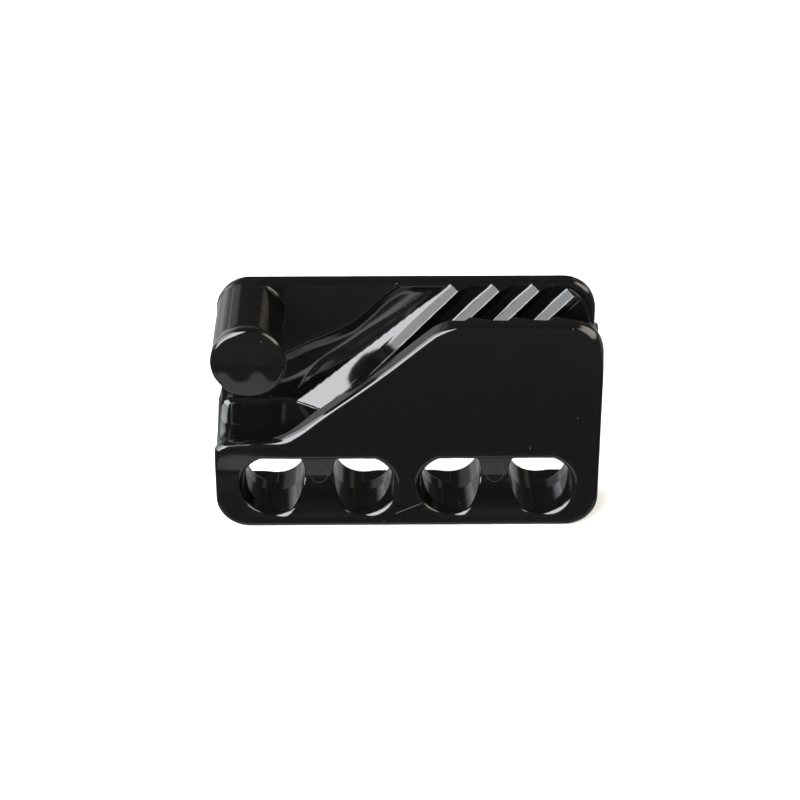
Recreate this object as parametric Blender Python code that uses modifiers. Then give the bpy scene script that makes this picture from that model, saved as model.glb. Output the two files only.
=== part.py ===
"""Rope cleat with a horn, for lashing to a rail.

The body stands on its bottom face. +X runs along the cleat towards the rope's tail end, -Y is the
front and +Z is up. Depths are measured back from the body's front face. All sizes are in
millimetres until the mesh is made.
"""
import math

import bmesh
import bpy
from mathutils import Matrix, Vector

MM = 0.001
GAP = 0.3  # between touching solids
OVERSHOOT = 2.0  # how far a cutter passes the face it cuts

# Body
LENGTH = 81.0
HEIGHT = 51.7
DEPTH = 17.0
CORNER_RADIUS = 7.0
EDGE_RADIUS = 1.0
PLATE_THICKNESS = 3.5
PLATE_INSET = 1.15  # the plate is a little shorter than the base at each end

# Lashing base: four holes in pairs, a recess in front of each web and three channels at the back
HOLE_PITCH = 18.8
HOLE_HEIGHT = 10.0
HOLE_RADIUS_FACE = 6.9
HOLE_RADIUS_MIDDLE = 6.2
RAIL_TOP = 3.0
BASE_TOP = 17.0
WEB_RECESS = 6.0
BACK_CHANNEL = 2.2

# Front cheek
CHEEK_TOP = 48.0
CHEEK_FOOT_X = -24.3
CHEEK_FOOT_Z = 21.6
CHEEK_SHOULDER_X = 8.4
CHEEK_THICKNESS = 4.0
CHEEK_RIM = 2.8  # thickness at the top, between the teeth
CHEEK_EDGE = 1.6

# Rope path
SADDLE_TOP = 20.8
SADDLE_ROLL = 3.0
BED_TOP = 36.5
BED_SHOULDER_X = -4.5
BED_FOOT = (-20.4, 20.0)
JAW_LEFT = -25.0

# Teeth: prisms along the slanted line of the jaw wall
TOOTH_SLANT = math.radians(43.8)  # of a crest line, from horizontal
WALL_SLOPE = 0.26  # depth gained for each unit of height on the rear jaw
FRONT_SLOPE = -0.10  # the same on the front cheek
REAR_TEETH = 4
FRONT_TEETH = 4
TOOTH_PITCH = 5.8  # across the crests
REAR_CREST = (10.7, 10.8, 50.9)  # x, depth and z of the first crest's top end
REAR_TOOTH_HEIGHT = 2.8
REAR_TOOTH_FACE = 1.2
FRONT_CREST = (13.6, 4.5, 48.0)
FRONT_TOOTH_HEIGHT = 1.3
FRONT_TOOTH_FACE = 0.7
JAW_FLANK = ((-7.0, -6.5), (-14.0, -11.0))  # left flank of the jaw below the first tooth

# Horn
HORN_X = -32.5
HORN_Z = 44.9
POST_RADIUS = 6.8
POST_FRONT = -1.0
HEAD_FRONT = -10.0
HEAD_RADIUS = 7.4
HEAD_EDGE = 0.5
HEAD_RIM = 1.1

ARC_STEPS = 8
ROUND_STEPS = 48

FRONT_Y = -(DEPTH + HEAD_FRONT) / 2  # puts the middle of the whole depth at y = 0
HALF = LENGTH / 2
PLATE_FRONT = DEPTH - PLATE_THICKNESS
RIGHT, BACK, UP = Vector((1, 0, 0)), Vector((0, 1, 0)), Vector((0, 0, 1))


def clear_scene():
    for obj in list(bpy.data.objects):
        bpy.data.objects.remove(obj)


def new_collection(name):
    collection = bpy.data.collections.new(name)
    bpy.context.scene.collection.children.link(collection)
    return collection


def nylon(name, grey, roughness):
    """A black moulded nylon, one for each sub-part."""
    material = bpy.data.materials.new(name)
    material.use_nodes = True
    shader = material.node_tree.nodes["Principled BSDF"]
    shader.inputs["Base Color"].default_value = (grey, grey, grey * 1.02, 1.0)
    shader.inputs["Roughness"].default_value = roughness
    shader.inputs["Metallic"].default_value = 0.0
    return material


def arc(centre_x, centre_z, radius, start, end, steps=ARC_STEPS):
    """Points on an arc, from start to end in degrees."""
    points = []
    for i in range(steps + 1):
        angle = math.radians(start + (end - start) * i / steps)
        points.append((centre_x + radius * math.cos(angle), centre_z + radius * math.sin(angle)))
    return points


def place(origin, x_axis, y_axis, z_axis):
    """Matrix of a local frame whose origin is (x, depth, z)."""
    matrix = Matrix((x_axis, y_axis, z_axis)).transposed().to_4x4()
    matrix.translation = Vector((origin[0], origin[1] + FRONT_Y, origin[2])) * MM
    return matrix


def prism(name, outline, matrix, length):
    """An outline in the local XY plane, extruded by length along local Z about the origin."""
    curve = bpy.data.curves.new(name, "CURVE")
    curve.dimensions = "2D"
    curve.fill_mode = "BOTH"
    curve.extrude = length / 2 * MM
    spline = curve.splines.new("POLY")
    spline.points.add(len(outline) - 1)
    for point, (x, y) in zip(spline.points, outline):
        point.co = (x * MM, y * MM, 0.0, 1.0)
    spline.use_cyclic_u = True
    flat = bpy.data.objects.new(name, curve)
    bpy.context.scene.collection.objects.link(flat)
    flat.matrix_world = matrix
    bpy.context.view_layer.update()
    evaluated = flat.evaluated_get(bpy.context.evaluated_depsgraph_get())
    mesh = bpy.data.meshes.new_from_object(evaluated)
    mesh.transform(flat.matrix_world)
    bpy.data.objects.remove(flat)
    shape = bmesh.new()
    shape.from_mesh(mesh)
    bmesh.ops.remove_doubles(shape, verts=shape.verts, dist=0.001 * MM)
    bmesh.ops.dissolve_limit(
        shape, angle_limit=math.radians(0.5), verts=shape.verts, edges=shape.edges
    )
    bmesh.ops.recalc_face_normals(shape, faces=shape.faces)
    shape.to_mesh(mesh)
    shape.free()
    return bpy.data.objects.new(name, mesh)


def slab(name, outline, front, back):
    """An outline in the XZ plane, filled between two depths."""
    middle = (0, (front + back) / 2, 0)
    return prism(name, outline, place(middle, RIGHT, UP, -BACK), back - front)


def bar(name, outline, left, right):
    """An outline of (depth, z) points, filled between two X positions."""
    middle = ((left + right) / 2, 0, 0)
    return prism(name, outline, place(middle, BACK, UP, RIGHT), right - left)


def box(name, low, high):
    """A block between two corners given as (x, depth, z)."""
    size = [(b - a) * MM for a, b in zip(low, high)]
    centre = [(a + b) / 2 * MM for a, b in zip(low, high)]
    centre[1] += FRONT_Y * MM
    shape = bmesh.new()
    bmesh.ops.create_cube(
        shape, size=1.0, matrix=Matrix.Translation(centre) @ Matrix.Diagonal((*size, 1.0))
    )
    mesh = bpy.data.meshes.new(name)
    shape.to_mesh(mesh)
    shape.free()
    return bpy.data.objects.new(name, mesh)


def turned(name, profile, x, z):
    """A profile of (radius, depth) points, front first, turned about an axis along Y."""
    mesh = bpy.data.meshes.new(name)
    points = [(radius * MM, 0.0, -depth * MM) for radius, depth in profile]
    mesh.from_pydata(points, [(i, i + 1) for i in range(len(points) - 1)], [])
    obj = bpy.data.objects.new(name, mesh)
    obj.location = (x * MM, FRONT_Y * MM, z * MM)
    obj.rotation_euler.x = math.radians(90)
    screw = obj.modifiers.new("Turn", "SCREW")
    screw.steps = ROUND_STEPS
    screw.render_steps = ROUND_STEPS
    screw.use_merge_vertices = True
    screw.merge_threshold = 0.01 * MM
    return obj


def round_edges(obj, radius, segments=2):
    bevel = obj.modifiers.new("Rounded edges", "BEVEL")
    bevel.width = radius * MM
    bevel.segments = segments
    bevel.limit_method = "ANGLE"
    bevel.angle_limit = math.radians(40)
    return obj


def boolean(obj, cutter, operation):
    """Cuts obj with a hidden cutter, or keeps only what lies inside it."""
    if not cutter.users_collection:
        CUTTERS.objects.link(cutter)
        cutter.hide_render = True
        cutter.display_type = "WIRE"
    modifier = obj.modifiers.new(cutter.name, "BOOLEAN")
    modifier.solver = "EXACT"
    modifier.operation = operation
    modifier.object = cutter
    return obj


def finish_part(obj, grey=0.012, roughness=0.22):
    obj.data.materials.append(nylon(obj.name, grey, roughness))
    obj.data.shade_smooth()
    obj.data.set_sharp_from_angle(angle=math.radians(35))
    PARTS.objects.link(obj)
    return obj


def base_slab(name):
    """The lashing base's full block with rounded bottom corners, still to be clipped."""
    radius = CORNER_RADIUS
    outline = arc(-HALF + radius, radius, radius, 180, 270)
    outline += arc(HALF - radius, radius, radius, 270, 360)
    outline += [(HALF, BASE_TOP + OVERSHOOT * 2), (-HALF, BASE_TOP + OVERSHOOT * 2)]
    return round_edges(slab(name, outline, 0.0, DEPTH), EDGE_RADIUS)


def lashing_holes():
    """One hourglass cutter for each hole, narrowest at mid depth."""
    middle = DEPTH / 2
    draft = (HOLE_RADIUS_FACE - HOLE_RADIUS_MIDDLE) / middle
    outer = HOLE_RADIUS_FACE + draft * OVERSHOOT
    profile = [(0, -OVERSHOOT), (outer, -OVERSHOOT), (HOLE_RADIUS_MIDDLE, middle)]
    profile += [(outer, DEPTH + OVERSHOOT), (0, DEPTH + OVERSHOOT)]
    return [turned(f"hole_{x:+.0f}", profile, x, HOLE_HEIGHT) for x in HOLE_X]


def make_base():
    """The bottom rail and the posts between the holes."""
    rail = base_slab("lower_rail")
    far = HALF + OVERSHOOT
    low, high = (-far, -OVERSHOOT, -OVERSHOOT), (far, DEPTH + OVERSHOOT, RAIL_TOP)
    finish_part(boolean(rail, box("rail_limit", low, high), "INTERSECT"))

    holes = lashing_holes()
    limits = [-far, *HOLE_X, far]
    names = ["end_post_left", "web_left", "centre_post", "web_right", "end_post_right"]
    for i, name in enumerate(names):
        post = base_slab(name)
        is_web = name.startswith("web")
        back = DEPTH + OVERSHOOT if is_web else DEPTH - BACK_CHANNEL
        low = (limits[i] + GAP / 2, -OVERSHOOT, RAIL_TOP + GAP)
        high = (limits[i + 1] - GAP / 2, back, BASE_TOP - GAP)
        boolean(post, box(name + "_limit", low, high), "INTERSECT")
        for hole, x in zip(holes, HOLE_X):
            if x in limits[i : i + 2]:
                boolean(post, hole, "DIFFERENCE")
        if is_web:
            boolean(post, web_recess(name + "_recess", limits[i], limits[i + 1]), "DIFFERENCE")
        finish_part(post)


def web_recess(name, left, right):
    """The space in front of a web: its floor curves forward to the front face at the bottom."""
    low = HOLE_HEIGHT - HOLE_RADIUS_FACE
    outline = arc(0, low + WEB_RECESS, WEB_RECESS, 270, 360)
    outline += [(WEB_RECESS, BASE_TOP + OVERSHOOT), (-OVERSHOOT, BASE_TOP + OVERSHOOT)]
    outline += [(-OVERSHOOT, low)]
    return bar(name, outline, left - OVERSHOOT, right + OVERSHOOT)


def make_saddle():
    """The lip that the rope bends over, with its left end rolled down."""
    outline = [(-HALF, 0.0), (0.0, 0.0), (0.0, SADDLE_TOP)]
    outline += arc(-HALF + SADDLE_ROLL, SADDLE_TOP - SADDLE_ROLL, SADDLE_ROLL, 90, 180)
    saddle = round_edges(slab("lead_in_saddle", outline, 0.0, DEPTH + CORNER_RADIUS), EDGE_RADIUS)
    low = (-HALF - OVERSHOOT, -OVERSHOOT, BASE_TOP)
    high = (CHEEK_FOOT_X - GAP, PLATE_FRONT - GAP, HEIGHT)
    finish_part(boolean(saddle, box("saddle_limit", low, high), "INTERSECT"))


def cheek_outline():
    """Foot, diagonal, shoulder and rounded right end of the front cheek."""
    slope = math.atan2(CHEEK_TOP - CHEEK_FOOT_Z - 1.0, CHEEK_SHOULDER_X - CHEEK_FOOT_X)
    turn = 5.0
    degrees = math.degrees(slope)
    shoulder_z = CHEEK_TOP - turn
    outline = [(CHEEK_FOOT_X, 0.0), (HALF, 0.0)]
    outline += arc(HALF - CORNER_RADIUS, CHEEK_TOP - CORNER_RADIUS, CORNER_RADIUS, 0, 90)
    outline += arc(CHEEK_SHOULDER_X + turn * math.sin(slope), shoulder_z, turn, 90, 90 + degrees)
    outline += [(CHEEK_FOOT_X, CHEEK_FOOT_Z)]
    return outline


def make_cheek():
    """The front cheek. Its inner face leans, so that the groove opens upwards."""
    cheek = round_edges(slab("front_cheek", cheek_outline(), 0.0, CHEEK_THICKNESS * 3), CHEEK_EDGE)
    low = (CHEEK_FOOT_X, -OVERSHOOT, BASE_TOP)
    high = (HALF + OVERSHOOT, CHEEK_THICKNESS, CHEEK_TOP + OVERSHOOT)
    boolean(cheek, box("cheek_limit", low, high), "INTERSECT")
    far = OVERSHOOT * 10
    top = (CHEEK_RIM + FRONT_SLOPE * far, CHEEK_TOP + far)
    bottom = (CHEEK_THICKNESS, CHEEK_TOP + (CHEEK_THICKNESS - CHEEK_RIM) / FRONT_SLOPE)
    lean = bar("cheek_lean", [bottom, (far, bottom[1]), (far, top[1]), top], -far * 3, far * 3)
    finish_part(boolean(cheek, lean, "DIFFERENCE"))


def plate_outline():
    radius = CORNER_RADIUS
    half = HALF - PLATE_INSET
    outline = [(-half, 0.0), (half, 0.0)]
    outline += arc(half - radius, HEIGHT - radius, radius, 0, 90)
    outline += arc(-half + radius, HEIGHT - radius, radius, 90, 180)
    return outline


def make_plate():
    plate = round_edges(slab("back_plate", plate_outline(), 0.0, DEPTH), EDGE_RADIUS)
    far = HALF + OVERSHOOT
    low, high = (-far, PLATE_FRONT, BASE_TOP), (far, DEPTH + OVERSHOOT, HEIGHT + OVERSHOOT)
    finish_part(boolean(plate, box("plate_limit", low, high), "INTERSECT"))


def make_bed():
    """The solid middle under the rope groove."""
    outline = [(CHEEK_FOOT_X, BASE_TOP), (HALF, BASE_TOP), (HALF, BED_TOP)]
    outline += [(BED_SHOULDER_X, BED_TOP), BED_FOOT, (CHEEK_FOOT_X, BED_FOOT[1])]
    finish_part(slab("groove_bed", outline, CHEEK_THICKNESS + GAP, PLATE_FRONT - GAP))


def crest_frame(crest, slope, facing):
    """A frame on a crest: X across the teeth, Y out of the wall, Z along the crest."""
    along = Vector((math.cos(TOOTH_SLANT), slope * math.sin(TOOTH_SLANT), math.sin(TOOTH_SLANT)))
    wall_normal = Vector((0, -1, slope)).normalized()
    across = along.cross(wall_normal).normalized()
    outward = wall_normal * facing
    return place(crest, across, outward, across.cross(outward))


def tooth_outline(i, height, face, sink=0.0):
    """Steep face on the left of the crest and gentle face on its right."""
    crest = i * TOOTH_PITCH
    return [(crest - face, -height), (crest + TOOTH_PITCH - face - sink, -height), (crest, 0.0)]


def jaw_envelope(name, left_edge):
    """The space between the cheek and the plate, inside the plate's outline and right of an edge."""
    radius = CORNER_RADIUS
    half = HALF - PLATE_INSET - GAP
    top = HEIGHT - EDGE_RADIUS
    outline = [*left_edge, (half, BED_TOP + GAP)]
    outline += arc(half - radius, top - radius, radius, 0, 90)
    outline += [(left_edge[0][0], top)]
    return slab(name, outline, CHEEK_THICKNESS + GAP, PLATE_FRONT - GAP)


def make_rear_jaw():
    """A wedge on the plate, with slanted teeth on its leaning wall."""
    frame = crest_frame(REAR_CREST, WALL_SLOPE, 1)
    far = HALF * 3
    root = -REAR_TOOTH_HEIGHT - GAP
    outline = [(-REAR_TOOTH_FACE - GAP, root), *JAW_FLANK, (far, JAW_FLANK[-1][1]), (far, root)]
    jaw = prism("rear_jaw", outline, frame, far)
    foot_x, foot_z = BED_FOOT
    above_bed = [(JAW_LEFT, foot_z + OVERSHOOT), (foot_x - OVERSHOOT * 2, foot_z + OVERSHOOT)]
    above_bed += [(foot_x - GAP, foot_z + GAP), (BED_SHOULDER_X - GAP, BED_TOP + GAP)]
    finish_part(boolean(jaw, jaw_envelope("jaw_envelope", above_bed), "INTERSECT"))

    right_of_bed = [(BED_SHOULDER_X - OVERSHOOT, BED_TOP + GAP)]
    envelope = jaw_envelope("rear_teeth_envelope", right_of_bed)
    for i in range(REAR_TEETH):
        outline = tooth_outline(i, REAR_TOOTH_HEIGHT, REAR_TOOTH_FACE, GAP)
        tooth = prism(f"rear_tooth_{i + 1}", outline, frame, far)
        finish_part(boolean(tooth, envelope, "INTERSECT"))


def make_front_teeth():
    """Shallower teeth on the cheek's inner face, opposite the rear ones."""
    frame = crest_frame(FRONT_CREST, FRONT_SLOPE, -1)
    far = HALF * 3
    radius = CORNER_RADIUS
    shoulder = CHEEK_SHOULDER_X - GAP
    outline = [(shoulder - 10, BED_TOP + GAP), (HALF - 1, BED_TOP + GAP)]
    outline += arc(HALF - 1 - radius, CHEEK_TOP - 1 - radius, radius, 0, 90)
    outline += [(shoulder, CHEEK_TOP - 1)]
    envelope = slab("front_teeth_envelope", outline, 0.0, PLATE_FRONT)
    for i in range(FRONT_TEETH):
        outline = tooth_outline(i, FRONT_TOOTH_HEIGHT, FRONT_TOOTH_FACE, GAP)
        tooth = prism(f"front_tooth_{i + 1}", outline, frame, far)
        finish_part(boolean(tooth, envelope, "INTERSECT"))


def make_horn():
    """A round post on the plate and a flared head at its front end."""
    middle = (POST_FRONT + PLATE_FRONT) / 2
    back = PLATE_FRONT - GAP
    profile = [(0, POST_FRONT), (POST_RADIUS, POST_FRONT), (POST_RADIUS, middle)]
    profile += [(POST_RADIUS, back), (0, back)]
    finish_part(turned("horn_post", profile, HORN_X, HORN_Z))

    neck = POST_FRONT - GAP
    rim_back = HEAD_FRONT + HEAD_RIM
    face = HEAD_RADIUS - HEAD_EDGE
    profile = [(0, HEAD_FRONT), (face, HEAD_FRONT)]
    profile += [(HEAD_RADIUS - 0.3 * HEAD_EDGE, HEAD_FRONT + 0.3 * HEAD_EDGE)]
    profile += [(HEAD_RADIUS, HEAD_FRONT + HEAD_EDGE), (HEAD_RADIUS, rim_back)]
    for i in range(1, ARC_STEPS + 1):
        share = i / ARC_STEPS
        flare = POST_RADIUS + (HEAD_RADIUS - POST_RADIUS) * (1 - share) ** 2
        profile.append((flare, rim_back + (neck - rim_back) * share))
    profile += [(0, neck)]
    finish_part(turned("horn_head", profile, HORN_X, HORN_Z))


HOLE_X = [HOLE_PITCH * step for step in (-1.5, -0.5, 0.5, 1.5)]

clear_scene()
PARTS = new_collection("rope_cleat_with_horn")
CUTTERS = new_collection("cutters")
make_base()
make_saddle()
make_cheek()
make_plate()
make_bed()
make_rear_jaw()
make_front_teeth()
make_horn()
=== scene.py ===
"""Boat rope cleat with a horn: one glossy black moulding, shown as its named regions.

The whole surface is worked out first as one distance field in millimetres, so that every
fillet runs on from region to region. It is then cut by planes into closed pieces that share
their outlines. A point of the field is (x, depth, z), where the depth runs back from the
body's front face.
"""
import math

import bmesh
import bpy
import numpy as np
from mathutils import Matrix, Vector

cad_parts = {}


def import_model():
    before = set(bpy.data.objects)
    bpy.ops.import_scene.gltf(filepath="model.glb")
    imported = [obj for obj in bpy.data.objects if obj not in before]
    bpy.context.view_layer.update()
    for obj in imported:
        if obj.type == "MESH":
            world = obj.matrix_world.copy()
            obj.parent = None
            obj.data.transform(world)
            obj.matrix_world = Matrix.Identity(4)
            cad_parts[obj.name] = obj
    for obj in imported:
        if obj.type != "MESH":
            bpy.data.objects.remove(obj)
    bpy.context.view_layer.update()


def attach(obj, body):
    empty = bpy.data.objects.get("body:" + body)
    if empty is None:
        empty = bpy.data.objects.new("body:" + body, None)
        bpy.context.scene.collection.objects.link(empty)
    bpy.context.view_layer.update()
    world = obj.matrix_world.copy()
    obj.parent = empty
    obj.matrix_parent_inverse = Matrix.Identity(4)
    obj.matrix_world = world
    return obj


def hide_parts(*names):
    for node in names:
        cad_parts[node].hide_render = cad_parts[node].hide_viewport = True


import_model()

MM = 0.001
CELL = 0.25  # pitch of the grid that the surface is read from

# Body and back plate
HALF = 81.0 / 2
DEPTH = 17.0
CORNER = 7.0
CHEEK_TOP = 48.0
PLATE_TOP, PLATE_HALF, PLATE_FRONT = 51.7, 39.6, 13.5
FRONT_Y = -3.5  # world Y of the front face
BACK_EDGE = 1.0  # radius of the edges round the back face
TOP_EDGE, LEFT_EDGE = 2.2, 2.6  # radii of the cheek's upper and left corners
DENT, DENT_X, DENT_Z = 0.32, -35.0, 13.5  # a shallow hollow in the face left of the holes
LIP_ROUND = 1.4  # fillet where the cheek meets the floor of the rope's path

# Lashing holes, which narrow from the face to mid depth, and what is cut round them
HOLE_X = (-28.2, -9.4, 9.4, 28.2)
HOLE_Z = 10.0
HOLE_FACE, HOLE_MIDDLE = 7.05, 6.2
POCKET_TOP = 16.5
WEB_RECESS, RECESS_START = 6.0, 1.6  # the recess starts in front of the face and curves in
BACK_CHANNEL = 4.6

# Horn
POST_X, POST_Z, POST_RADIUS = -32.6, 44.75, 6.95
HEAD_X, HEAD_Z, HEAD_RADIUS = -31.95, 44.9, 7.65
HEAD_FRONT, HEAD_DOME, HEAD_EDGE = -10.0, 0.01, 0.85
FLARE_START, FLARE_LENGTH = 5.2, 3.0  # how far in front of the face the post widens
HORN_ROOT = 15.0  # depth at which the post ends inside the plate

# Teeth on the plate's side: the slanted faces, their crests and the valleys between them
TOOTH_RUN = 1.0 / math.tan(math.radians(45.8))  # x travelled by a tooth for each unit of height
REAR_TOP = 51.0
REAR_CRESTS = (0.0, 8.6, 16.9, 25.3)
REAR_X, REAR_D = 11.5, 11.8
WALL_SLOPE, WALL_FADE = 0.1, 20.0  # the wall comes forward on the way down, less and less
VALLEY, FACE_SLOPE, BACK_RUN = 2.0, 0.76, 4.5
TOOTH_EDGE = 0.25

# Limits of the toothed wedge, whose top falls away to the front
JAW_HALF, JAW_CORNER, JAW_BOTTOM = 38.3, 9.0, 18.0
TOP_LEAN, LEAN_Z, LEAN_D = 0.5, 51.3, 14.0

# Teeth on the cheek's side
FRONT_X = 13.05
FRONT_CRESTS = (0.0, 8.8, 17.4, 25.8)
FRONT_CREST, FRONT_LEAN = 4.9, 0.10
FRONT_VALLEY, FRONT_RUN, FRONT_FACE = 1.5, 6.5, 1.3

# The plate is stepped along a long S. Below a crease it rises as a shelf, and past a straight
# ridge as a curling ramp that reaches the first tooth.
S_STEP, S_WIDTH, S_BEAD = 0.26, 1.3, 0.09
SHELF_SLOPE = 0.065
RIDGE_FOOT, RIDGE_RUN = (-23.4, 23.3), 1.166
RAMP_SLOPE, RAMP_CURL = 0.30, 0.019
FOOT_FALL = 0.16  # slope of the ramp's lower end
CREASE_SLOPE = 0.3  # slope of the surface behind the plate, left of the crease
CREASE_BEAD, CREASE_BEAD_WIDTH = 0.04, 0.3 / 0.62
CURVE_SHIFT = 0.35  # the curves below lie this far to the right of where they belong

# Points of curves drawn in the XZ plane
OUTLINE = ((-41, 19.6), (-37.4, 20.1), (-33, 20.7), (-26.2, 21.4), (-22.2, 23.6), (-18.8, 26.2),
           (-12.5, 31.0), (-3.8, 37.9), (5, 45.5), (7.2, 47.3), (12, 51.3), (16, 54.6))
S_EDGE = ((-41, 26.5), (-33, 30.4), (-25.2, 34.3), (-20.3, 36.8), (-14.2, 39.6), (-10.5, 41.8),
          (-6.9, 45.1), (-3.3, 48.6), (-0.9, 50.2), (2.2, 50.9), (5, 51.0))
CREASE = ((18, -28.0), (22, -25.6), (24.5, -24.0), (27, -22.2), (30.1, -19.9), (33.5, -16.7),
          (36.2, -12.8), (39.7, -8.2), (44, -2.1), (47.5, 2.7), (50.2, 6.0), (52, 8.0))
FLOOR = ((-44, 19.0), (-37.4, 19.3), (-32, 19.1), (-28.5, 19.3), (-20, 19.3), (-16.5, 19.8),
         (-11, 24.5), (-6, 30.5), (-1, 33.8), (4, 35.0), (44, 35.2))


# ---------------------------------------------------------------- distance field
def fuse(a, b, r):
    """Union with a fillet of radius r."""
    return np.maximum(r, np.minimum(a, b)) - np.hypot(np.maximum(r - a, 0), np.maximum(r - b, 0))


def keep(a, b, r):
    """Intersection with an edge rounded to radius r."""
    return -fuse(-a, -b, r)


def cut(a, b, r):
    """Difference with an edge rounded to radius r."""
    return -fuse(-a, b, r)


def step(t, low, high):
    """0 up to low and 1 from high on, with a smooth rise between them."""
    t = np.clip((t - low) / (high - low), 0, 1)
    return t * t * (3 - 2 * t)


def round_rect(x, z, half, low, high, r):
    """Distance to a rectangle in the XZ plane with corners of radius r."""
    a = np.abs(x) - (half - r)
    b = np.abs(z - (low + high) / 2) - ((high - low) / 2 - r)
    return np.hypot(np.maximum(a, 0), np.maximum(b, 0)) + np.minimum(np.maximum(a, b), 0) - r


def curve(t, points):
    """A smooth curve through (t, value) points: cubic Hermite with central slopes."""
    px = np.array([p[0] for p in points], float)
    py = np.array([p[1] for p in points], float)
    slope = np.gradient(py, px)
    i = np.clip(np.searchsorted(px, t) - 1, 0, len(px) - 2)
    h = px[i + 1] - px[i]
    u = np.clip((t - px[i]) / h, 0, 1)
    out = (2 * u**3 - 3 * u**2 + 1) * py[i] + (u**3 - 2 * u**2 + u) * h * slope[i]
    out += (-2 * u**3 + 3 * u**2) * py[i + 1] + (u**3 - u**2) * h * slope[i + 1]
    return out + np.minimum(t - px[0], 0) * slope[0] + np.maximum(t - px[-1], 0) * slope[-1]


def table(points, low, high):
    t = np.linspace(low, high, 2001)
    return t, curve(t, points)


def read(samples, t):
    """A sampled curve's value at t and its slope there, over 1 mm."""
    return np.interp(t, *samples), np.interp(t + 0.5, *samples) - np.interp(t - 0.5, *samples)


OUTLINE_TABLE = table(OUTLINE, -44, 44)
S_TABLE = table(S_EDGE, -44, 44)
CREASE_TABLE = table(CREASE, 0, 60)
FLOOR_TABLE = table(FLOOR, -44, 44)


def body_outline(x, z):
    """The lip, the diagonal, the shoulder and the rounded right end, in the XZ plane."""
    at, slope = read(OUTLINE_TABLE, x + CURVE_SHIFT)
    top = (z - at) / np.sqrt(1 + slope**2)
    top = keep(top, z - CHEEK_TOP, TOP_EDGE)
    top = keep(top, x - HALF, CORNER)
    return keep(top, -x - HALF, LEFT_EDGE)


def plate_depth(x, z):
    """Depth of the plate's front surface, a little deeper below a long S-shaped edge."""
    edge = np.interp(x + CURVE_SHIFT, *S_TABLE)
    past = (edge - z) / S_WIDTH
    drop = S_STEP * step(past, -1.0, 1.6) * step(-x, -8.0, -2.0)
    bead = S_BEAD * np.exp(-((past + 0.75) / 0.4) ** 2) * step(x, -28.0, -25.0)
    return PLATE_FRONT + drop - bead


def ramp(x, d, z):
    """The smooth slope that carries the rope from the plate to the first tooth."""
    crease_x = np.interp(z, *CREASE_TABLE) - CURVE_SHIFT
    ridge_x = np.maximum(RIDGE_FOOT[0] + RIDGE_RUN * (z - RIDGE_FOOT[1]), crease_x)
    left = np.minimum(x - crease_x, 0)
    shelf = np.clip(x - crease_x, 0, ridge_x - crease_x)
    past = np.maximum(x - ridge_x, 0)
    rise = CREASE_SLOPE * left + SHELF_SLOPE * shelf + (RAMP_SLOPE + RAMP_CURL * past) * past
    beyond = np.where(x < ridge_x, SHELF_SLOPE, RAMP_SLOPE + 2 * RAMP_CURL * past)
    lean = np.where(x < crease_x, CREASE_SLOPE, beyond)
    bead = CREASE_BEAD * np.exp(-(((x - crease_x) / CREASE_BEAD_WIDTH) ** 2))
    return (PLATE_FRONT + S_STEP - rise - d + bead) / np.sqrt(1 + (1 + RIDGE_RUN**2) * lean**2)


def rear_jaw(x, d, z):
    """The toothed wedge on the plate, solid behind its slanted faces."""
    drop = REAR_TOP - z
    s = x - (REAR_X - TOOTH_RUN * drop)
    crest = REAR_D - WALL_SLOPE * WALL_FADE * np.tanh(drop / WALL_FADE)
    teeth = None
    face_norm = math.sqrt(1 + FACE_SLOPE**2 + (FACE_SLOPE * TOOTH_RUN - WALL_SLOPE) ** 2)
    for offset in REAR_CRESTS:
        t = s - offset
        run = np.clip(t, 0, BACK_RUN) / BACK_RUN
        lean = VALLEY * 2 / BACK_RUN * (1 - run) * (t > 0)
        back = crest + VALLEY * (1 - (1 - run) ** 2) - d
        back = back / np.sqrt(1 + lean**2 + (WALL_SLOPE + lean * TOOTH_RUN) ** 2)
        face = (crest - FACE_SLOPE * t - d) / face_norm
        tooth = keep(face, back, TOOTH_EDGE)
        teeth = tooth if teeth is None else fuse(teeth, tooth, TOOTH_EDGE)
    cove = ramp(x, d, z)
    root_s = (0.15 - VALLEY) / FACE_SLOPE
    cove = keep(cove, (s - root_s - 0.9) * 0.69, 0.05)
    cove = keep(cove, RIDGE_FOOT[1] - FOOT_FALL * (x - RIDGE_FOOT[0]) - z, 0.1)
    jaw = fuse(teeth, cove, 0.15)
    jaw = keep(jaw, round_rect(x, z, JAW_HALF, 0.0, REAR_TOP, JAW_CORNER), 0.3)
    jaw = keep(jaw, (z - (LEAN_Z - TOP_LEAN * (LEAN_D - d))) / math.hypot(1, TOP_LEAN), 0.2)
    return np.maximum(jaw, JAW_BOTTOM - z)


def front_wall(x, z):
    """Depth of the cheek's inner face, with shallow teeth opposite the rear ones."""
    drop = CHEEK_TOP - z
    s = x - (FRONT_X - TOOTH_RUN * drop)
    crest = FRONT_CREST + FRONT_LEAN * drop
    plain = 2.6 + 1.6 * step(x, -27.0, -19.0)
    teeth = crest - FRONT_VALLEY + 0 * x
    for offset in FRONT_CRESTS:
        t = s - offset
        back = FRONT_VALLEY * (1 - (1 - np.clip(t, 0, FRONT_RUN) / FRONT_RUN) ** 2)
        teeth = np.maximum(teeth, crest - np.where(t > 0, back, -t * FRONT_FACE))
    blend = step(s, -4.0, -2.5)
    return plain * (1 - blend) + np.minimum(teeth, crest) * blend


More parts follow.
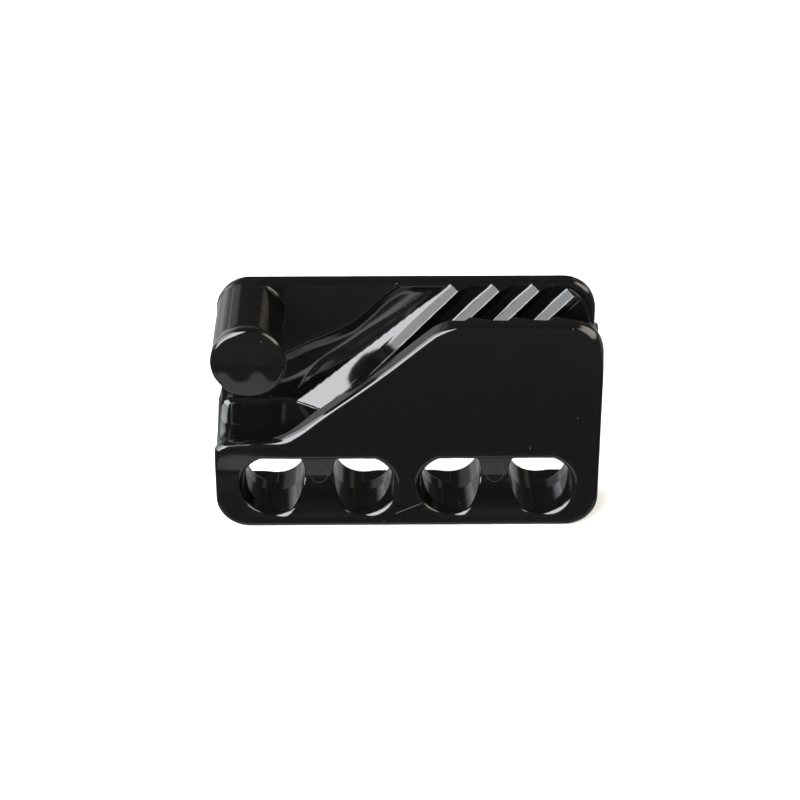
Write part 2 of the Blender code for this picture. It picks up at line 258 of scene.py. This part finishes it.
def horn(x, d, z):
    """A round post on the plate with a slightly wider head."""
    flare = np.clip((-d - FLARE_START) / FLARE_LENGTH, 0, 1) ** 1.6
    centre_x = POST_X + (HEAD_X - POST_X) * flare
    centre_z = POST_Z + (HEAD_Z - POST_Z) * flare
    radius = POST_RADIUS + (HEAD_RADIUS - POST_RADIUS) * flare
    across = np.hypot(x - centre_x, z - centre_z)
    wave = 0.05 * np.sin(0.9 * x + 0.4) * np.cos(0.7 * z)
    face = HEAD_FRONT + HEAD_DOME * across**2 + wave - d
    return np.maximum(keep(across - radius, face, HEAD_EDGE), d - HORN_ROOT)


def pockets(x, d, z):
    """Four lashing holes and the recess in front of each web."""
    radius = HOLE_MIDDLE + (HOLE_FACE - HOLE_MIDDLE) * np.clip(1 - 2 * d / DEPTH, 0, 1.1)
    void = None
    for hole_x in HOLE_X:
        hole = np.hypot(x - hole_x, z - HOLE_Z) - radius
        void = hole if void is None else np.minimum(void, hole)
    void = np.maximum(void, z - POCKET_TOP)
    shape = d + RECESS_START - (WEB_RECESS + RECESS_START) * step(z, 1.5, 9.0)
    shape = np.maximum((shape + 0.05 * np.maximum(z - 9.0, 0)) / 1.5, z - POCKET_TOP)
    middle = (HOLE_X[1] + HOLE_X[0]) / 2
    inside = np.abs(np.abs(x) + middle) - (HOLE_X[1] - HOLE_X[0]) / 2
    return fuse(void, np.maximum(shape, inside), 0.25)


def channels(x, d, z):
    """Open channels in the back, outside the outer holes and between the inner two."""
    ends = HOLE_X[3] - np.abs(x)
    middle = np.abs(x) - HOLE_X[2]
    across = np.abs(z - HOLE_Z) - HOLE_MIDDLE
    return np.maximum(np.maximum(np.minimum(ends, middle), across), DEPTH - BACK_CHANNEL - d)


def rope_floor(x, d, z):
    """The saddle and the bed under the rope, a trough that curves up to both sides."""
    mid = 5.0
    bowl = 19.3 - 4.0 * step(x, -24.0, -17.0) + 10.0 * step(x, -15.0, -8.0)
    bowl = np.where(d > mid, bowl, 26.0)
    height, slope = read(FLOOR_TABLE, x)
    floor = z - (height + (d - mid) ** 2 / bowl)
    floor = floor / np.sqrt(1 + slope**2 + (2 * (d - mid) / bowl) ** 2)
    return keep(floor, -x - HALF, 3.0)


def cleat(x, d, z):
    """Signed distance to the whole moulding, in millimetres, negative inside."""
    edge = 0.9 + 0.6 * step(z, 14.0, 19.0) * step(-x, 14.0, 25.0)
    edge = edge + 1.9 * step(x, 28.0, 37.0) * step(z, 36.0, 43.0)
    floor = rope_floor(x, d, z)
    cheek = keep(body_outline(x, z), (d - front_wall(x, z)) / 1.1, 0.4)
    dent = DENT * np.exp(-(((z - DENT_Z) / 3.3) ** 2) - ((x - DENT_X) / 7.0) ** 2)
    front = keep(fuse(cheek, floor, LIP_ROUND), dent - d, edge)
    plate = round_rect(x, z, PLATE_HALF, -CORNER, PLATE_TOP, CORNER)
    plate = keep(plate, plate_depth(x, z) - d, 1.3)
    rear = fuse(plate, rear_jaw(x, d, z), 0.2)
    peg = horn(x, d, z)
    rear = fuse(rear, peg, 0.7)
    body = fuse(front, rear, 0.6)
    body = keep(body, d - DEPTH, BACK_EDGE)
    shell = round_rect(x, z, HALF, 0.0, PLATE_TOP, CORNER)
    shell = keep(keep(shell, -d, edge), d - DEPTH, BACK_EDGE)
    body = np.minimum(np.maximum(body, shell), peg)
    body = cut(body, pockets(x, d, z), 1.0)
    return cut(body, channels(x, d, z), 0.3)


def gradient(points, h=0.02):
    """Central differences of the field at (n, 3) points."""
    x, d, z = points.T
    return np.stack([
        cleat(x + h, d, z) - cleat(x - h, d, z),
        cleat(x, d + h, z) - cleat(x, d - h, z),
        cleat(x, d, z + h) - cleat(x, d, z - h),
    ], axis=1) / (2 * h)


def surface(cell):
    """Quads over the zero level of the field, one vertex for each crossed cell."""
    low = np.array((-HALF - 1.0, HEAD_FRONT - 1.0, -1.0)) + cell * 0.37
    high = np.array((HALF + 1.0, DEPTH + 1.0, 53.4))
    count = np.ceil((high - low) / cell).astype(int) + 1
    axes = [low[i] + cell * np.arange(count[i]) for i in range(3)]
    field = np.empty(count, np.float32)
    slab = 24  # layers worked out at a time, to spare memory
    for i in range(0, count[0], slab):
        grid = np.meshgrid(axes[0][i : i + slab], axes[1], axes[2], indexing="ij")
        field[i : i + slab] = cleat(*grid)
    inside = field < 0
    corner = [(i, j, k) for i in (0, 1) for j in (0, 1) for k in (0, 1)]
    nx, ny, nz = count - 1
    hits = sum(inside[i : nx + i, j : ny + j, k : nz + k].astype(np.int8) for i, j, k in corner)
    cells = np.argwhere((hits > 0) & (hits < 8))
    number = np.full(count - 1, -1, np.int64)
    number[tuple(cells.T)] = np.arange(len(cells))
    total, points = np.zeros(len(cells)), np.zeros((len(cells), 3))
    for a in corner:
        for axis in range(3):
            if a[axis]:
                continue
            b = list(a)
            b[axis] = 1
            fa = field[tuple((cells + a).T)].astype(float)
            fb = field[tuple((cells + b).T)].astype(float)
            crossed = (fa < 0) != (fb < 0)
            share = np.where(crossed, fa / np.where(crossed, fa - fb, 1.0), 0.0)
            place = np.array(a, float)[None, :] + 0 * points
            place[:, axis] += share
            points += np.where(crossed[:, None], place, 0.0)
            total += crossed
    points = low + cell * (cells + points / total[:, None])
    quads = []
    for axis in range(3):
        near, far = [slice(None)] * 3, [slice(None)] * 3
        near[axis], far[axis] = slice(0, -1), slice(1, None)
        change = inside[tuple(near)].astype(np.int8) - inside[tuple(far)].astype(np.int8)
        edges = np.argwhere(change != 0)
        sign = change[tuple(edges.T)]
        u, v = [(1, 2), (2, 0), (0, 1)][axis]
        ring = []
        for du, dv in ((0, 0), (-1, 0), (-1, -1), (0, -1)):
            at = edges.copy()
            at[:, u] += du
            at[:, v] += dv
            ring.append(number[tuple(at.T)])
        ring = np.stack(ring, axis=1)
        ring[sign < 0] = ring[sign < 0][:, ::-1]
        quads.append(ring)
    quads = np.concatenate(quads)
    for _ in range(3):
        value = cleat(*points.T)
        slope = gradient(points)
        move = slope * (value / np.maximum((slope**2).sum(1), 0.05))[:, None]
        length = np.linalg.norm(move, axis=1, keepdims=True)
        points -= move * np.minimum(1.0, 0.5 * cell / np.maximum(length, 1e-9))
    return points, quads


# ---------------------------------------------------------------- pieces
def moulding(points, quads):
    """The whole closed surface as a bmesh in millimetres."""
    mesh = bpy.data.meshes.new("moulding")
    mesh.from_pydata(points.tolist(), [], quads.tolist())
    whole = bmesh.new()
    whole.from_mesh(mesh)
    bpy.data.meshes.remove(mesh)
    return whole


def part_off(whole, point, normal):
    """Cuts a closed mesh by a plane and returns (what lies behind it, what lies in front)."""
    halves = []
    for side in (1, -1):
        half = whole.copy()
        geometry = half.verts[:] + half.edges[:] + half.faces[:]
        made = bmesh.ops.bisect_plane(
            half, geom=geometry, dist=1e-5, plane_co=point, plane_no=normal,
            clear_outer=side > 0, clear_inner=side < 0,
        )["geom_cut"]
        rim = [e for e in made if isinstance(e, bmesh.types.BMEdge) and e.is_boundary]
        if rim:
            caps = bmesh.ops.triangle_fill(half, edges=rim, use_beauty=True, use_dissolve=False)
            for face in caps["geom"]:
                if isinstance(face, bmesh.types.BMFace):
                    face.material_index = 1
                    if face.normal.dot(Vector(normal)) * side < 0:
                        face.normal_flip()
        halves.append(half)
    return halves


def islands(mesh):
    """Splits a mesh into its connected pieces, as lists of faces."""
    left, found = set(mesh.faces), []
    while left:
        start = left.pop()
        group, todo = [start], [start]
        while todo:
            for edge in todo.pop().edges:
                for face in edge.link_faces:
                    if face in left:
                        left.remove(face)
                        group.append(face)
                        todo.append(face)
        found.append(group)
    return found


def take(mesh, wanted):
    """A copy that holds only the connected pieces whose centre passes the test, and the rest."""
    picked, rest = mesh.copy(), mesh.copy()
    for copy, keep_it in ((picked, True), (rest, False)):
        doomed = []
        for group in islands(copy):
            centre = sum((f.calc_center_median() for f in group), Vector()) / len(group)
            if wanted(centre) != keep_it:
                doomed += group
        bmesh.ops.delete(copy, geom=doomed, context="FACES")
    return picked, rest


def make_piece(name, mesh, nodes, material):
    """A named object from a bmesh in millimetres, with normals taken from the field."""
    data = bpy.data.meshes.new(name)
    for face in mesh.faces:
        face.smooth = True
    mesh.to_mesh(data)
    count = len(data.vertices)
    points = np.empty(count * 3)
    data.vertices.foreach_get("co", points)
    points = points.reshape(-1, 3)
    normals = gradient(points)
    normals /= np.maximum(np.linalg.norm(normals, axis=1, keepdims=True), 1e-9)
    loop_vertex = np.empty(len(data.loops), int)
    data.loops.foreach_get("vertex_index", loop_vertex)
    loop_normal = normals[loop_vertex]
    for polygon in data.polygons:
        if polygon.material_index:
            for i in polygon.loop_indices:
                loop_normal[i] = polygon.normal
            polygon.material_index = 0
    placed = points * MM
    placed[:, 1] += FRONT_Y * MM
    data.vertices.foreach_set("co", placed.ravel())
    data.update()
    data.normals_split_custom_set(loop_normal.tolist())
    data.materials.append(material)
    piece = bpy.data.objects.new(name, data)
    bpy.context.scene.collection.objects.link(piece)
    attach(piece, "root")
    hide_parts(*nodes)
    return piece


# Colours of the plastic and of its specks and lines, and X of the parting line on the post
BLACK, DUST = (0.002, 0.002, 0.002, 1), (0.10, 0.10, 0.10, 1)
SEAM_X = -35.8


def node_tools(tree):
    """Shorthand for adding maths nodes and smooth range nodes to a tree."""
    nodes, links = tree.nodes, tree.links

    def maths(operation, a, b=0.0):
        node = nodes.new("ShaderNodeMath")
        node.operation = operation
        for socket, value in zip(node.inputs, (a, b)):
            if isinstance(value, (int, float)):
                socket.default_value = value
            else:
                links.new(value, socket)
        return node.outputs[0]

    def spread(value, low, high, out_low=0.0, out_high=1.0):
        node = nodes.new("ShaderNodeMapRange")
        node.interpolation_type = "SMOOTHSTEP"
        links.new(value, node.inputs["Value"])
        ends = {"From Min": low, "From Max": high, "To Min": out_low, "To Max": out_high}
        for key, number in ends.items():
            node.inputs[key].default_value = number
        return node.outputs["Result"]

    return maths, spread


def nylon():
    """Black moulded nylon: high gloss, with faint flow waves, fine scuffs, specks and mould lines."""
    material = bpy.data.materials.new("black_nylon")
    material.use_nodes = True
    nodes, links = material.node_tree.nodes, material.node_tree.links
    maths, spread = node_tools(material.node_tree)
    shader = nodes["Principled BSDF"]
    shader.inputs["IOR"].default_value = 1.5
    place = nodes.new("ShaderNodeTexCoord").outputs["Object"]
    split = nodes.new("ShaderNodeSeparateXYZ")
    links.new(place, split.inputs[0])
    x, y, z = split.outputs

    def noise(scale, detail, stretch=(1, 1, 1)):
        mapping = nodes.new("ShaderNodeMapping")
        mapping.inputs["Scale"].default_value = stretch
        links.new(place, mapping.inputs["Vector"])
        node = nodes.new("ShaderNodeTexNoise")
        node.inputs["Scale"].default_value = scale
        node.inputs["Detail"].default_value = detail
        links.new(mapping.outputs[0], node.inputs["Vector"])
        return node.outputs["Fac"]

    def stroke(start, end, width):
        """1 on a straight line drawn in the XZ plane, fading to 0 at the given width."""
        length = math.dist(start, end)
        along = ((end[0] - start[0]) / length, (end[1] - start[1]) / length)
        u = maths("SUBTRACT", x, start[0] * MM)
        v = maths("SUBTRACT", z, start[1] * MM)
        t = maths("ADD", maths("MULTIPLY", u, along[0]), maths("MULTIPLY", v, along[1]))
        fade = spread(t, length * MM, (length - 3) * MM)
        inside = maths("MULTIPLY", spread(t, -0.2 * MM, 0.6 * MM), fade)
        off = maths("SUBTRACT", maths("MULTIPLY", u, along[1]), maths("MULTIPLY", v, along[0]))
        return maths("MULTIPLY", inside, spread(maths("ABSOLUTE", off), width * MM, 0.0))

    def ring(centre, radius, width):
        """1 on a circle drawn in the XZ plane and on its mirror image, as far back as the webs."""
        u = maths("SUBTRACT", maths("ABSOLUTE", x), centre[0] * MM)
        v = maths("SUBTRACT", z, centre[1] * MM)
        r = maths("SQRT", maths("ADD", maths("MULTIPLY", u, u), maths("MULTIPLY", v, v)))
        off = maths("ABSOLUTE", maths("SUBTRACT", r, radius * MM))
        return maths("MULTIPLY", spread(off, width * MM, 0.0), spread(y, 5.0 * MM, 4.0 * MM))

    # A weld line on the front face, the ejector circles and the parting line on the horn's post
    on_front = spread(y, -3.0 * MM, -3.4 * MM)
    weld = maths("MULTIPLY", stroke((-2.6, 3.2), (4.4, 6.4), 0.12), on_front)
    circles = ring((18.8, 9.75), 2.0, 0.12)
    seam = spread(maths("ABSOLUTE", maths("SUBTRACT", x, SEAM_X * MM)), 0.14 * MM, 0.0)
    seam = maths("MULTIPLY", seam, spread(z, 44.0 * MM, 45.0 * MM))
    seam = maths("MULTIPLY", seam, spread(y, -9.6 * MM, -8.8 * MM))
    seam = maths("MULTIPLY", seam, spread(y, 9.5 * MM, 9.0 * MM))
    line = maths("MAXIMUM", weld, maths("MULTIPLY", circles, 0.35))
    line = maths("MAXIMUM", line, maths("MULTIPLY", seam, 0.6))
    scuffs = spread(noise(900, 2, (1, 1, 0.12)), 0.66, 0.74)
    scuffs = maths("MULTIPLY", scuffs, spread(noise(45, 3), 0.50, 0.68))
    cells = nodes.new("ShaderNodeTexVoronoi")
    cells.inputs["Scale"].default_value = 620
    links.new(place, cells.inputs["Vector"])
    chosen = nodes.new("ShaderNodeSeparateColor")
    links.new(cells.outputs["Color"], chosen.inputs[0])
    few = maths("GREATER_THAN", chosen.outputs[0], 0.955)
    speck = maths("MULTIPLY", spread(cells.outputs["Distance"], 0.08, 0.03), few)
    marks = maths("MAXIMUM", speck, maths("MULTIPLY", line, 0.45))

    colour = nodes.new("ShaderNodeMix")
    colour.data_type = "RGBA"
    colour.inputs["A"].default_value = BLACK
    colour.inputs["B"].default_value = DUST
    links.new(marks, colour.inputs["Factor"])
    links.new(colour.outputs["Result"], shader.inputs["Base Color"])
    rough = maths("ADD", spread(noise(70, 4), 0.3, 0.7, 0.05, 0.10), maths("MULTIPLY", scuffs, 0.12))
    rough = maths("ADD", rough, maths("MULTIPLY", marks, 0.4))
    links.new(rough, shader.inputs["Roughness"])
    height = maths("ADD", noise(110, 2), maths("MULTIPLY", noise(420, 2), 0.06))
    height = maths("ADD", height, maths("MULTIPLY", line, 0.25))
    height = maths("SUBTRACT", height, maths("MULTIPLY", scuffs, 0.01))
    bump = nodes.new("ShaderNodeBump")
    bump.inputs["Strength"].default_value = 1.0
    bump.inputs["Distance"].default_value = 0.05 * MM
    links.new(height, bump.inputs["Height"])
    links.new(bump.outputs[0], shader.inputs["Normal"])
    return material


# Where the surface is parted, in the field's (x, depth, z)
RAIL_TOP, BASE_TOP = 3.1, 17.0
PLATE_CUT, HEAD_CUT, SADDLE_CUT = 12.2, -1.0, -24.3
GROOVE_POINT, GROOVE_NORMAL = (0, 6.05, 33.0), (0, 1, -1.15 / 18)


def build():
    """The twelve named pieces of the moulding."""
    material = nylon()
    whole = moulding(*surface(CELL))
    lower, upper = part_off(whole, (0, 0, BASE_TOP), (0, 0, 1))
    rail, posts = part_off(lower, (0, 0, RAIL_TOP), (0, 0, 1))
    make_piece("lower_rail", rail, ["lower_rail"], material)
    names = ["end_post_left", "web_left", "centre_post", "web_right"]
    for name, x in zip(names, HOLE_X):
        post, posts = part_off(posts, (x, 0, 0), (1, 0, 0))
        make_piece(name, post, [name], material)
    make_piece("end_post_right", posts, ["end_post_right"], material)
    front, back = part_off(upper, (0, PLATE_CUT, 0), (0, 1, 0))
    make_piece("back_plate", back, ["back_plate"], material)
    peg, front = take(front, lambda centre: centre.z > 38 and centre.x < SADDLE_CUT)
    head, post = part_off(peg, (0, HEAD_CUT, 0), (0, 1, 0))
    make_piece("horn_head", head, ["horn_head"], material)
    make_piece("horn_post", post, ["horn_post"], material)
    saddle, front = part_off(front, (SADDLE_CUT, 0, 0), (1, 0, 0))
    make_piece("lead_in_saddle", saddle, ["lead_in_saddle"], material)
    cheek, jaw = part_off(front, GROOVE_POINT, GROOVE_NORMAL)
    nodes = ["front_cheek"] + [f"front_tooth_{i}" for i in range(1, 5)]
    make_piece("front_cheek", cheek, nodes, material)
    nodes = ["rear_jaw", "groove_bed"] + [f"rear_tooth_{i}" for i in range(1, 5)]
    make_piece("rear_jaw", jaw, nodes, material)


build()


# ---------------------------------------------------------------- stage
# (azimuth low, high, softness), (elevation low, high, softness), colour.
# Azimuth 0 is behind the object, -90 to its left, 90 to its right and 180 in front.
PANELS = (
    ((-200, 200, 1), (-95, 95, 1), (0.07, 0.07, 0.07)),
    ((40, 200, 10), (-28.5, 40, 1.5), (0.10, 0.10, 0.10)),
    ((-200, -140, 6), (-28.5, 12, 1.5), (0.10, 0.10, 0.10)),
    ((-166, -113, 3), (1, 60, 3), (14.0, 14.3, 14.6)),
    ((-113, -66, 3), (12, 58, 4), (6.0, 6.2, 6.4)),
    ((-66, -42, 8), (4, 42, 5), (3.4, 3.5, 3.6)),
    ((-46, -17, 2.5), (-8, 26, 4), (0.32, 0.33, 0.34)),
    ((20, 26, 2), (2, 36, 4), (0.24, 0.21, 0.17)),
    ((58, 125, 8), (14, 52, 6), (5.0, 4.7, 4.0)),
    ((-75, 75, 14), (-90, 1, 6), (0.5, 0.5, 0.5)),
    ((-200, -120, 6), (-75, -36, 1.2), (0.85, 0.85, 0.83)),
    ((120, 200, 6), (-75, -36, 1.2), (0.85, 0.85, 0.83)),
)


def world():
    """A studio seen in reflections: each panel fills a window of directions, in degrees."""
    shade = bpy.data.worlds.new("studio")
    bpy.context.scene.world = shade
    shade.use_nodes = True
    nodes, links = shade.node_tree.nodes, shade.node_tree.links
    maths, spread = node_tools(shade.node_tree)
    background = nodes["Background"]
    background.inputs["Strength"].default_value = 1.0
    split = nodes.new("ShaderNodeSeparateXYZ")
    links.new(nodes.new("ShaderNodeTexCoord").outputs["Generated"], split.inputs[0])
    x, y, z = split.outputs
    azimuth = maths("MULTIPLY", maths("ARCTAN2", x, y), 180 / math.pi)
    height = maths("MULTIPLY", maths("ARCSINE", z), 180 / math.pi)

    def band(value, low, high, soft):
        rise = spread(value, low - soft, low + soft)
        return maths("MULTIPLY", rise, spread(value, high + soft, high - soft))

    total = None
    for around, up, colour in PANELS:
        scaled = nodes.new("ShaderNodeVectorMath")
        scaled.operation = "SCALE"
        scaled.inputs[0].default_value = colour
        links.new(maths("MULTIPLY", band(azimuth, *around), band(height, *up)), scaled.inputs["Scale"])
        if total is None:
            total = scaled.outputs[0]
        else:
            add = nodes.new("ShaderNodeVectorMath")
            add.operation = "ADD"
            links.new(total, add.inputs[0])
            links.new(scaled.outputs[0], add.inputs[1])
            total = add.outputs[0]
    links.new(total, background.inputs["Color"])


world()

scene = bpy.context.scene
scene.view_settings.view_transform = "Standard"

SIDE = 6.0  # half the floor's width, in metres
floor_mesh = bpy.data.meshes.new("floor")
corners = [(-SIDE, -SIDE, 0), (SIDE, -SIDE, 0), (SIDE, SIDE, 0), (-SIDE, SIDE, 0)]
floor_mesh.from_pydata(corners, [], [(0, 1, 2, 3)])
floor = bpy.data.objects.new("floor", floor_mesh)
scene.collection.objects.link(floor)
floor_material = bpy.data.materials.new("pale_floor")
floor_material.use_nodes = True
floor_shader = floor_material.node_tree.nodes["Principled BSDF"]
floor_shader.inputs["Base Color"].default_value = (0.9, 0.9, 0.9, 1)
floor_shader.inputs["Roughness"].default_value = 0.9
floor_shader.inputs["Specular IOR Level"].default_value = 0.0
floor_mesh.materials.append(floor_material)
floor.visible_glossy = False

top_light = bpy.data.lights.new("top_light", "AREA")
top_light.shape = "DISK"
top_light.size = 3.0
top_light.energy = 30.0
top = bpy.data.objects.new("top_light", top_light)
top.location = (0, 0.3, 2.0)
top.visible_glossy = False
scene.collection.objects.link(top)

camera_data = bpy.data.cameras.new("camera")
camera_data.sensor_width = 36.0
camera_data.lens = 99.0
camera_data.shift_x = -0.0063
camera_data.shift_y = 0.0049
camera = bpy.data.objects.new("camera", camera_data)
AIM, DISTANCE = Vector((-0.00035, 0.0055, 0.025)), 0.4656
elevation, azimuth = math.radians(30.0), math.radians(0.5)
flat = math.cos(elevation)
away = Vector((math.sin(azimuth) * flat, math.cos(azimuth) * flat, -math.sin(elevation)))
camera.location = AIM - away * DISTANCE
camera.rotation_euler = away.to_track_quat("-Z", "Y").to_euler()
scene.collection.objects.link(camera)
scene.camera = camera
